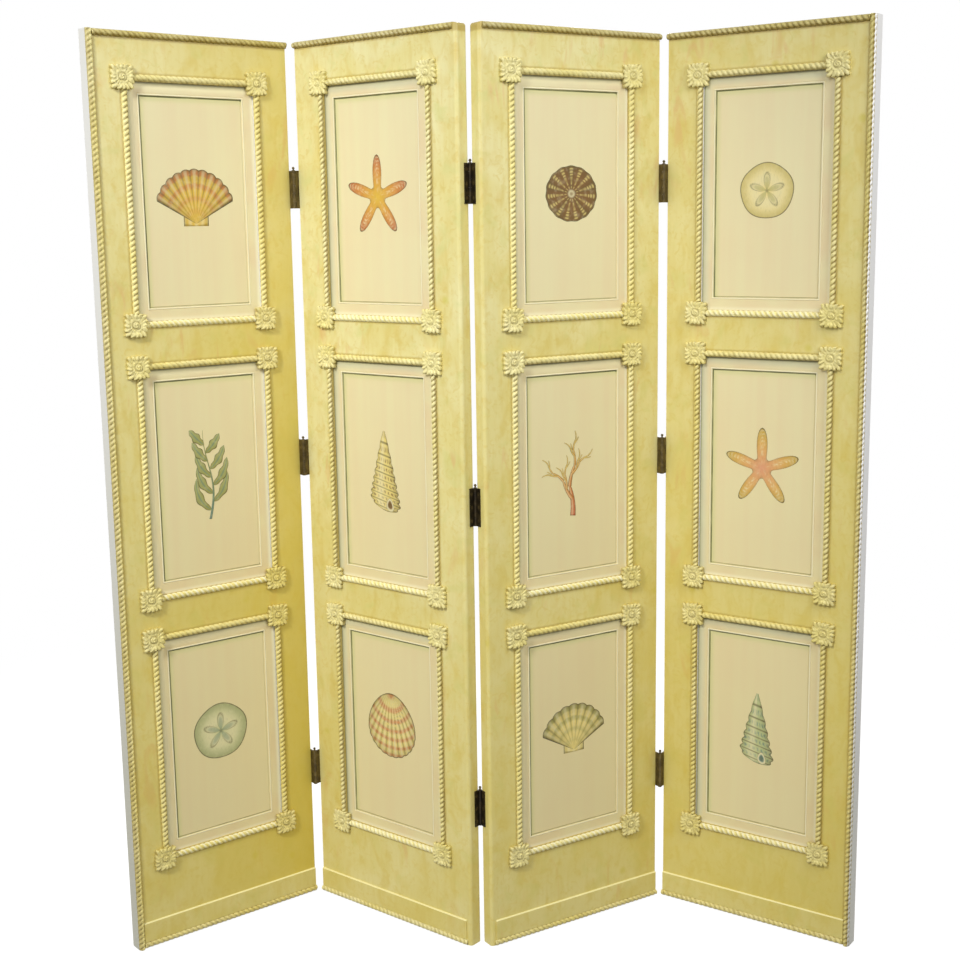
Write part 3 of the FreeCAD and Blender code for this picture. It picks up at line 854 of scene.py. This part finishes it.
# How far the ochre glaze and painted shadow along the mouldings reach, how much further
# they reach in places, and their strength
GLAZE_SHADOW_REACH = 2.5 * MM
GLAZE_SHADOW_SPREAD = 5 * MM
GLAZE_SHADOW_STRENGTH = 0.6


def from_opening(paint, height):
    """How far a height lies from the middle of the nearest opening."""
    start = BOTTOM_RAIL + OPENING_HEIGHT / 2 - OPENING_PITCH / 2
    stop = start + len(OPENINGS) * OPENING_PITCH - MM
    held = paint.least(paint.most(height, start), stop)
    along = paint.math("FLOORED_MODULO", paint.minus(held, start), OPENING_PITCH)
    return paint.apart(along, OPENING_PITCH / 2)


def panel_share(paint, number, column):
    """How far a point lies from the panel's foot along one of its axes."""
    foot, way = PANELS[number].translation, PANELS[number].col[column].xyz
    return paint.minus(paint.vector("DOT_PRODUCT", paint.place, way), foot.dot(way))


def out_of_opening(paint, number, margin):
    """How far a point lies outside the nearest opening, less a margin."""
    x = panel_share(paint, number, 0)
    aside = paint.minus(paint.apart(x, PANEL_WIDTH / 2), OPENING_WIDTH / 2 + margin)
    beyond = paint.minus(from_opening(paint, paint.height()), OPENING_HEIGHT / 2 + margin)
    return paint.most(aside, beyond)


def tone_at(paint, number):
    """How much darker the paint is made: painted shade that grows towards the floor, and towards an edge
    partly deeper paint and partly painted shade.
    """
    left_tone, right_tone = STILE_TONES[number]
    x = panel_share(paint, number, 0)
    # Painted shade: darker towards the floor
    low = paint.times(paint.fade(paint.height(), *FLOOR_PAINTED_SHADE_HEIGHTS), FLOOR_PAINTED_SHADE)
    # Partly deeper paint and partly painted shade towards an edge
    over = paint.times(paint.ramp(x, 0.0, PANEL_WIDTH), right_tone - left_tone)
    return paint.plus(paint.plus(low, over), left_tone)


def glazed_and_shaded(paint, number, shade):
    """Paint made darker towards the floor as painted shade and towards the valleys as deeper paint with
    painted shade, with ochre glaze and painted shadow along the mouldings.
    """
    # Painted shade towards the floor, and deeper paint with painted shade towards the valleys
    shade = paint.mix(tone_at(paint, number), shade, FRAME_DEEP)
    gap = out_of_opening(paint, number, ROPE_WIDTH)
    gap = paint.least(gap, paint.minus(SCREEN_HEIGHT - ROPE_WIDTH, paint.height()))
    x = panel_share(paint, number, 0)
    side = OUTER_SIDE.get(number)
    if side == "left":
        gap = paint.least(gap, paint.minus(x, ROPE_WIDTH))
    elif side == "right":
        gap = paint.least(gap, paint.minus(PANEL_WIDTH - ROPE_WIDTH, x))
    # Ochre glaze with painted shadow beside the mouldings
    reach = paint.plus(paint.times(paint.noise(45, 3), GLAZE_SHADOW_SPREAD), GLAZE_SHADOW_REACH)
    return paint.coat(shade, FRAME_GLAZE_SHADOW, paint.fade(gap, 0.0, reach), GLAZE_SHADOW_STRENGTH)


def brushed(paint):
    """Fine brush marks along the height, as a height for the surface."""
    return paint.noise(420, 2, place=paint.stretched(BRUSH_MARKS))


# How grey the white of each outer edge is above and at the floor, and how high up that reaches; the greying
# towards the floor is painted shade
EDGE_TONES = {1: (0.3, 0.95, 1.6), 4: (0.0, 0.7, 0.9)}


def edge_white(paint, number):
    """The white of an outer edge, greyed towards the floor as painted shade."""
    above, at_floor, reach = EDGE_TONES[number]
    low = paint.fade(paint.height(), 0.0, reach)
    share = paint.plus(paint.times(low, at_floor - above), above)
    return paint.mix(share, EDGE_WHITE, EDGE_GREY)


# Between which places outside an opening the paint of its walls ends
WALL_EDGE = (0.5 * MM, MM)


def behind_boards(paint, number):
    """1 on the walls of the openings behind the boards, and 0 elsewhere."""
    depth = panel_share(paint, number, 1)
    inside = paint.fade(out_of_opening(paint, number, 0.0), *WALL_EDGE)
    return paint.times(paint.ramp(depth, BACK_OF_BOARD, BACK_OF_BOARD + MM), inside)


def facing(paint, way):
    """1 where the surface faces a way, and 0 elsewhere."""
    normal = paint.node("TexCoord").outputs["Normal"]
    return paint.ramp(paint.vector("DOT_PRODUCT", normal, way), 0.5, 0.7)


def frame_paint(number):
    """The timber's paint: marbled on the face with glaze and painted shade, plain off white behind and on the
    outer edge.
    """
    paint = Paint(f"frame_paint_{number}", SATIN)
    front = glazed_and_shaded(paint, number, marbled(paint))
    back = facing(paint, PANELS[number].col[1].xyz)
    behind = paint.most(back, behind_boards(paint, number))
    stain = paint.ramp(paint.noise(5, 4, 0.5), 0.4, 0.75)
    plain = paint.coat(BACK_WHITE, BACK_STAIN, stain, 0.35)
    shade = paint.mix(behind, front, plain)
    side = OUTER_SIDE.get(number)
    if side:
        outer = facing(paint, PANELS[number].col[0].xyz * (-1 if side == "left" else 1))
        shade = paint.mix(outer, shade, edge_white(paint, number))
    return paint.finish(shade, brushed(paint), 0.15 * MM)


# Depths of shade between which the mouldings' white painted highlight fades and their ochre glaze and painted
# shade grow, and where the white of the outer rope starts and is full
HIGHLIGHT_DEPTHS = (-0.3, 0.05)
GLAZE_SHADE_DEPTHS = (0.22, 0.85)
OUTER_WHITE = (PANEL_WIDTH - 4.4 * MM, PANEL_WIDTH - 3.6 * MM)
WHITE_RAGGED = -2.5 * MM
MOULDING_SHADE = 0.6


def moulding_paint(number):
    """Cream on the carved mouldings, with ochre glaze and painted shade in their hollows, a painted highlight
    where they are least shaded, and white on the last outer edge.
    """
    paint = Paint(f"moulding_paint_{number}", SATIN)
    deep = paint.attribute("deep").outputs["Fac"]
    worn = paint.noise(70, 3)
    reach = paint.plus(deep, paint.times(paint.minus(worn, 0.5), 0.3))
    cream = paint.mix(paint.ramp(paint.noise(9, 2), 0.35, 0.7), ROPE_CREAM, ROPE_PALE)
    # Painted shade towards the floor, and partly deeper paint towards an edge, as on the frame
    cream = paint.coat(cream, FRAME_DEEP, tone_at(paint, number), MOULDING_SHADE)
    # A painted highlight where the glaze and painted shade are least
    cream = paint.mix(paint.fade(reach, *HIGHLIGHT_DEPTHS), cream, ROPE_HIGHLIGHT)
    # Ochre glaze and painted shade where they are deepest
    shade = paint.mix(paint.ramp(reach, *GLAZE_SHADE_DEPTHS), cream, ROPE_OCHRE)
    if number == WHITE_EDGED:
        ragged = paint.plus(paint.drawn()["X"], paint.times(deep, WHITE_RAGGED))
        outer = paint.ramp(ragged, *OUTER_WHITE)
        shade = paint.mix(outer, shade, edge_white(paint, number))
    return paint.finish(shade, worn, 0.1 * MM)


# What each panel's bands are toned with beside the left and top ropes, and how much: painted light on the
# first and third panels and painted shade on the second and fourth
BAND_SHADES = {1: (BAND_PAINTED_LIGHT, 0.8), 2: (BAND_PAINTED_SHADE, 0.4), 3: (BAND_PAINTED_LIGHT, 0.55), 4: (BAND_PAINTED_SHADE, 0.4)}
# How much darker the boards' paint is made at the floor, as painted shade, and between which heights that
# grows
BOARD_FLOOR_PAINTED_SHADE = 0.4
BOARD_SHADE_HEIGHTS = (0.3, 1.8)
# Where each tone on a band starts and stops, measured from the ropes, and how unevenly: a painted highlight
# by the far ropes, the panel's painted light and shade, and glaze with painted shadow by the left and top
# ones
RIM_REACH = (2 * MM, 9 * MM)
TINT_REACH = (8 * MM, 19 * MM)
STAIN_SHADOW_REACH = (2 * MM, 10 * MM)
TOP_DARK = (1.5 * MM, 5 * MM)
LEFT_DARK = (1 * MM, 3.6 * MM)
SHADE_WOBBLE = 5 * MM
# Where the tones of the field, its green line and the bead's painted highlight start and stop, measured from
# the end of the band
MIST_REACH = (3 * MM, 16 * MM)
LINE_FADE = (3 * MM, 5 * MM)
LINE_PLACE = (0.3 * MM, 3 * MM)
BEAD_PLACE = (-2.6 * MM, -0.2 * MM)
FIELD_EDGE = (-0.5 * MM, 0.5 * MM)


def field_shade(paint, low, inner_lit):
    """The sunk field: cream with a rosy grain, darker towards the floor as painted shade, and greener beside
    its left and top edges as green glaze with painted shade.
    """
    grain = paint.ramp(paint.noise(42, 3, place=paint.stretched(0.04)), 0.3, 0.7)
    clouds = paint.ramp(paint.noise(5, 3, 0.5), 0.35, 0.7)
    rosy = paint.plus(paint.times(grain, 0.4), paint.times(clouds, 0.3))
    # Painted shade: darker towards the floor
    field = paint.mix(low, paint.mix(rosy, BOARD_CREAM, BOARD_PINK), BOARD_DEEP)
    # Green glaze with painted shade beside the left and top edges
    return paint.coat(field, BOARD_GREEN, paint.fade(inner_lit, *MIST_REACH), 0.65)


def band_shade(paint, low, gaps, number):
    """The flat band: darker towards the floor as painted shade, a painted highlight beside the far ropes, and
    beside the left and top ones the panel's painted light and shade and glaze with painted shadow, darkest
    under them.
    """
    band = paint.mix(paint.ramp(paint.noise(14, 3), 0.3, 0.7), BOARD_PINK, BOARD_CREAM)
    # Painted shade: darker towards the floor
    band = paint.mix(low, band, BOARD_DEEP)
    # A painted highlight beside the far ropes
    band = paint.coat(band, BOARD_HIGHLIGHT, paint.fade(gaps["far"], *RIM_REACH), 0.7)
    wobble = paint.times(paint.minus(paint.noise(30, 3), 0.5), SHADE_WOBBLE)
    spread = paint.plus(gaps["lit"], wobble)
    tint, strength = BAND_SHADES[number]
    # Painted light on some panels and painted shade on others, beside the left and top ropes
    band = paint.coat(band, tint, paint.fade(spread, *TINT_REACH), strength)
    # Glaze with painted shadow beside the left and top ropes
    band = paint.coat(band, BOARD_GLAZE_SHADOW, paint.fade(spread, *STAIN_SHADOW_REACH), 0.5)
    # Dark glaze with painted shadow just under the top and left ropes
    top_dark = paint.times(paint.fade(gaps["top"], *TOP_DARK), 0.6)
    left_dark = paint.times(paint.fade(gaps["left"], *LEFT_DARK), 0.5)
    return paint.mix(paint.most(top_dark, left_dark), band, BOARD_DARK)


def line_strength(paint, inner_lit, gaps):
    """How strong the green line is: full at the left and top, half at the foot and faint elsewhere, a painted
    line that is partly the painted shadow of the field's step.
    """
    lit = paint.fade(inner_lit, *LINE_FADE)
    under = paint.fade(paint.minus(gaps["bottom"], BAND_WIDTH), *LINE_FADE)
    strong = paint.most(lit, paint.times(under, 0.5))
    patchy = paint.plus(0.5, paint.times(paint.ramp(paint.noise(22, 2), 0.25, 0.6), 0.35))
    return paint.plus(0.08, paint.times(strong, patchy))


def board_paint(number):
    """Cream boards with a dark green line round the field and dark glaze with painted shadow under the ropes,
    with painted highlights on the bead and beside the far ropes and painted shade towards the floor.
    """
    paint = Paint(f"insert_paint_{number}", BOARD_SATIN)
    drawn = paint.drawn()
    gaps = {
        "left": paint.plus(drawn["X"], OPENING_WIDTH / 2),
        "right": paint.minus(OPENING_WIDTH / 2, drawn["X"]),
        "bottom": paint.plus(drawn["Z"], OPENING_HEIGHT / 2),
        "top": paint.minus(OPENING_HEIGHT / 2, drawn["Z"]),
    }
    gaps["lit"] = paint.least(gaps["left"], gaps["top"])
    gaps["far"] = paint.least(gaps["right"], gaps["bottom"])
    # Painted shade: darker towards the floor
    low = paint.times(paint.fade(paint.height(), *BOARD_SHADE_HEIGHTS), BOARD_FLOOR_PAINTED_SHADE)
    inner = paint.minus(paint.least(gaps["lit"], gaps["far"]), BAND_WIDTH)
    inner_lit = paint.minus(gaps["lit"], BAND_WIDTH)
    band = band_shade(paint, low, gaps, number)
    field = field_shade(paint, low, inner_lit)
    shade = paint.mix(paint.ramp(inner, *FIELD_EDGE), band, field)
    # The green line, partly the painted shadow of the field's step at the left and top
    line = paint.between(inner, *LINE_PLACE)
    shade = paint.coat(shade, BOARD_LINE, line, line_strength(paint, inner_lit, gaps))
    # A painted highlight along the bead
    shade = paint.coat(shade, BOARD_HIGHLIGHT, paint.between(inner, *BEAD_PLACE), 0.75)
    shade = paint.mix(paint.ramp(drawn["Y"], BACK_OF_BOARD - MM, BACK_OF_BOARD), shade, BACK_WHITE)
    return paint.finish(shade, brushed(paint), 0.1 * MM)


def motif_paint():
    """The motifs' own colours, broken up a little as thin paint is."""
    paint = Paint("motif_paint", BOARD_SATIN)
    own = paint.attribute("tint").outputs["Color"]
    wash = paint.ramp(paint.noise(110, 4), 0.45, 0.8)
    shade = paint.coat(own, BOARD_CREAM, wash, 0.22)
    strokes = paint.ramp(paint.noise(500, 2, place=paint.stretched(0.3)), 0.5, 0.8)
    shade = paint.coat(shade, INK, strokes, 0.15)
    return paint.finish(shade, strokes, 0.05 * MM)


# Where the painted highlight on the plinth's top arris starts and is full
PLINTH_HIGHLIGHT = (52.2 * MM, 53.4 * MM)


def plinth_paint(number):
    """The plinth's paint: marbled, mixed half with the deep yellow, and with a painted highlight along its
    top arris.
    """
    paint = Paint(f"plinth_paint_{number}", SATIN)
    arris = paint.ramp(paint.height(), *PLINTH_HIGHLIGHT)
    shade = paint.mix(0.5, marbled(paint), FRAME_DEEP)
    # A painted highlight along the top arris
    shade = paint.coat(shade, ROPE_CREAM, arris, 0.8)
    return paint.finish(shade, brushed(paint), 0.15 * MM)


def bronze(name, dark, light, roughness):
    """Old bronze, worn lighter in patches."""
    paint = Paint(name, roughness, metallic=0.55)
    patches = paint.ramp(paint.noise(90, 4, 0.4), 0.35, 0.75)
    grain = paint.noise(900, 2, place=paint.stretched(0.2))
    return paint.finish(paint.mix(patches, dark, light), grain, 0.08 * MM)


def dress(obj, material):
    """Give a piece its material."""
    obj.data.materials.clear()
    obj.data.materials.append(material)


valley_bronze = bronze("valley_bronze", HINGE_DARK, HINGE_OLIVE, 0.45)
# A darker copy of the bronze for the ridge hinges, as painted shade
shaded_ridge_bronze = bronze("shaded_ridge_bronze", HINGE_BLACK, HINGE_DARK, 0.45)
screw_bronze = bronze("screw_bronze", HINGE_DARK, SCREW_WORN, 0.4)

twisted_ropes = opening_ropes()
carved_rosettes = rosettes(rosette())
board_points, board_faces = board()

for number in PANELS:
    timber = frame_paint(number)
    moulding = moulding_paint(number)
    boards_paint = board_paint(number)
    for name in ("left_stile", "right_stile", "bottom_rail", "lower_rail", "upper_rail", "top_rail"):
        dress(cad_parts[f"panel_{number}_{name}"], timber)
    dress(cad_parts[f"panel_{number}_plinth"], plinth_paint(number))
    carved = {
        "opening_ropes": ("twisted_ropes", twisted_ropes),
        "edge_ropes": ("twisted_edges", edge_ropes(number)),
        "rosettes": ("carved_rosettes", carved_rosettes),
    }
    for replaced, (name, (points, faces, deep)) in carved.items():
        made = new_object(f"panel_{number}_{name}", points, faces, number, deep=deep)
        dress(made, moulding)
        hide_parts(f"panel_{number}_{replaced}")
    for index in OPENINGS:
        middle = (PANEL_WIDTH / 2, 0, BOTTOM_RAIL + OPENING_HEIGHT / 2 + index * OPENING_PITCH)
        made = new_object(f"panel_{number}_board_{index + 1}", board_points, board_faces, number, middle)
        made.data.shade_flat()
        dress(made, boards_paint)
        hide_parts(f"panel_{number}_inserts")

# How far the motifs stand above the middle of their fields, and the motifs by panel and level
MOTIF_RAISED = 6 * MM
MOTIFS = {
    (1, 3): scallop(104 * MM, SUN, CORAL_RED),
    (1, 2): frond(188 * MM, OLIVE, TEAL),
    (1, 1): sand_dollar(62 * MM, SAGE, TEAL),
    (2, 3): starfish(82 * MM, SUN, CORAL_RED),
    (2, 2): turret(164 * MM, STRAW, UMBER),
    (2, 1): cockle(66 * MM, STRAW, CORAL_RED),
    (3, 3): urchin(61 * MM, UMBER, STRAW),
    (3, 2): sprig(186 * MM, CORAL_RED, SUN),
    (3, 1): scallop(98 * MM, STRAW, OLIVE, 9),
    (4, 3): sand_dollar(56 * MM, STRAW, OLIVE),
    (4, 2): starfish(82 * MM, ROSE, SUN),
    (4, 1): turret(150 * MM, SAGE, TEAL, 7),
}
painted = motif_paint()
for (number, level), parts in MOTIFS.items():
    middle = BOTTOM_RAIL + OPENING_HEIGHT / 2 + (level - 1) * OPENING_PITCH
    place = (PANEL_WIDTH / 2, 0, middle + MOTIF_RAISED)
    made = motif(f"panel_{number}_motif_{level}", number, place, parts)
    dress(made, painted)

for line in ("left_valley", "ridge", "right_valley"):
    for part in ("left_leaves", "right_leaves", "pins"):
        # The ridge's leaves take the darker bronze, as painted shade
        metal = shaded_ridge_bronze if line == "ridge" and part != "pins" else valley_bronze
        dress(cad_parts[f"{line}_{part}"], metal)
    for part in ("left_screws", "right_screws"):
        dress(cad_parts[f"{line}_{part}"], screw_bronze)

# Floor, lights and camera

FLOOR_GREY = colour(150, 150, 150)
FLOOR_WHITE = colour(245, 245, 245)
FLOOR_KEEP = 0.3
FLOOR_LIFT = 0.2
# How far out the shadow is kept in full, and where it is gone
FLOOR_SHADOW = (1.0, 2.6)
FLOOR_SIZE = 60.0
FLOOR_LEVEL = -0.5 * MM


def white_floor():
    """A floor that looks white, keeps the shadow near the feet and throws little light back."""
    paint = Paint("floor", roughness=1.0)
    path = paint.node("LightPath")
    seen = paint.most(path.outputs["Is Camera Ray"], path.outputs["Is Glossy Ray"])
    out = paint.node("VectorMath", {"operation": "LENGTH"}, i0=paint.place).outputs["Value"]
    near = paint.fade(out, *FLOOR_SHADOW)
    grey = paint.mix(seen, FLOOR_GREY, FLOOR_WHITE)
    shaded = paint.node("BsdfDiffuse", Color=grey)
    strength = paint.plus(1.0, paint.times(near, FLOOR_LIFT))
    glow = paint.node("Emission", Strength=strength)
    share = paint.times(seen, paint.minus(1.0, paint.times(near, FLOOR_KEEP)))
    both = paint.node("MixShader", i0=share, i1=shaded.outputs[0], i2=glow.outputs[0])
    paint.feed(paint.tree.nodes["Material Output"].inputs["Surface"], both.outputs[0])
    return paint.material


half = FLOOR_SIZE / 2
corners = [(-half, -half, 0), (half, -half, 0), (half, half, 0), (-half, half, 0)]
floor_mesh = bpy.data.meshes.new("floor")
floor_mesh.from_pydata(corners, [], [(0, 1, 2, 3)])
floor_mesh.materials.append(white_floor())
floor = placed("floor", floor_mesh)
floor.location.z = FLOOR_LEVEL

# The white the camera sees behind the object, and the weaker light that the room throws on it
WORLD_SEEN = 1.0
WORLD_LIGHT = 0.4

world = bpy.data.worlds.new("studio")
scene.world = world
world.use_nodes = True
studio = Nodes(world.node_tree)
background = studio.tree.nodes["Background"].inputs
background["Color"].default_value = (1, 1, 1, 1)
rays = studio.node("LightPath").outputs
direct = studio.most(rays["Is Camera Ray"], rays["Is Transmission Ray"])
strength = studio.node("Mix", i0=direct, i2=WORLD_LIGHT, i3=WORLD_SEEN)
studio.feed(background["Strength"], strength.outputs[0])


def aim(lamp, place, target):
    """Put a lamp at a place and turn it towards another."""
    obj = placed(lamp.name, lamp)
    obj.location = place
    obj.rotation_euler = (Vector(target) - Vector(place)).to_track_quat("-Z", "Y").to_euler()


# One lamp high in front on the left, a weak broad one on each side and a broad one behind
KEY_PLACE = (-2.0, -3.4, 3.8)
KEY_TARGET = (-0.5, 0, 0.97)
KEY_POWER = 590
KEY_SPREAD = math.radians(42.1)
KEY_RADIUS = 0.4
FILL_SIZE = 1.2
FILL_TARGET = (-0.2, 0, 1.0)
FILLS = {
    "right_fill": (22.8, (1.4, -1.6, 2.4)),
    "left_fill": (8.0, (-2.4, -1.6, 2.0)),
    "back_fill": (70.0, (0.4, 3.2, 2.6)),
}
key = bpy.data.lights.new("key", "SPOT")
key.spot_size = KEY_SPREAD
key.spot_blend = 1.0
key.shadow_soft_size = KEY_RADIUS
key.energy = KEY_POWER
aim(key, KEY_PLACE, KEY_TARGET)
for name, (power, place) in FILLS.items():
    fill = bpy.data.lights.new(name, "AREA")
    fill.shape = "DISK"
    fill.size = FILL_SIZE
    fill.energy = power
    aim(fill, place, FILL_TARGET)

# The camera stands a little right of the middle and looks slightly down
CAMERA_PLACE = Vector((42.7, -2906.3, 1457.4)) * MM
CAMERA_YAW = math.radians(-1.09)
CAMERA_PITCH = math.radians(9.926)
CAMERA_ROLL = math.radians(-0.885)
SENSOR_WIDTH = 36
FOCAL_SHARE = 1450.4 / 960

level_share = math.cos(CAMERA_PITCH)
ahead = Vector((
    math.sin(CAMERA_YAW) * level_share, math.cos(CAMERA_YAW) * level_share, -math.sin(CAMERA_PITCH)))
across = Vector((math.cos(CAMERA_YAW), -math.sin(CAMERA_YAW), 0))
above = across.cross(ahead)
right = math.cos(CAMERA_ROLL) * across + math.sin(CAMERA_ROLL) * above
up = math.cos(CAMERA_ROLL) * above - math.sin(CAMERA_ROLL) * across
lens = bpy.data.cameras.new("camera")
lens.sensor_width = SENSOR_WIDTH
lens.sensor_fit = "HORIZONTAL"
lens.lens = SENSOR_WIDTH * FOCAL_SHARE
camera = placed("camera", lens)
camera.matrix_world = Matrix.Translation(CAMERA_PLACE) @ Matrix((right, up, -ahead)).transposed().to_4x4()
scene.camera = camera

scene.view_settings.view_transform = "Standard"
